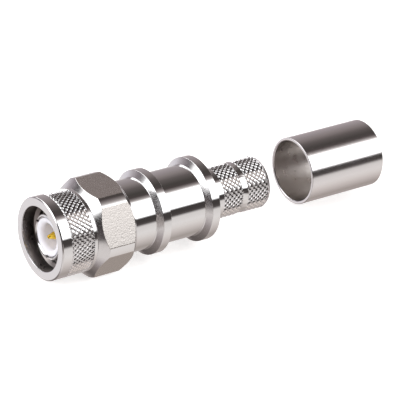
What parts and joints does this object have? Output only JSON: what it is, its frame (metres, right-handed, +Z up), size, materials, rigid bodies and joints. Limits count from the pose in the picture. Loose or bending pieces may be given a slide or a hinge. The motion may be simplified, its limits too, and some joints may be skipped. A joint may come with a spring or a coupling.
{
  "type": "tnc connector",
  "caption": "Male TNC crimp plug in nickel plate with a knurled hexagonal coupling nut, gold centre pin in a white socket, and a crimp ferrule drawn off behind it.",
  "frame": {"origin": "centre of the outer contact's front rim, on the axis", "axes": "+X along the axis from the mating end to the cable, +Z up, lying on one flat of the nut's hexagon"},
  "size_m": [0.0691, 0.0174, 0.0158],
  "materials": {
    "polished_nickel": "polished",
    "satin_nickel": "satin",
    "spring_bronze": "satin",
    "black_silicone": "matte",
    "white_ptfe": "matte",
    "gold_plate": "polished"
  },
  "bodies": {
    "plug": {"plug_body": "polished_nickel", "outer_contact": "polished_nickel", "snap_ring": "spring_bronze", "gasket": "black_silicone", "front_insulator": "white_ptfe", "rear_insulator": "white_ptfe", "centre_contact": "gold_plate"},
    "nut": {"coupling_nut": "polished_nickel"},
    "ferrule": {"crimp_ferrule": "satin_nickel"}
  },
  "joints": [
    {"name": "nut_spin", "type": "hinge", "parent": "plug", "child": "nut", "pos_m": [0.0096, 0, 0], "axis": [1, 0, 0], "continuous": true},
    {"name": "ferrule_slide", "type": "slide", "parent": "plug", "child": "ferrule", "axis": [-1, 0, 0], "range_m": [0, 0.0211]}
  ]
}
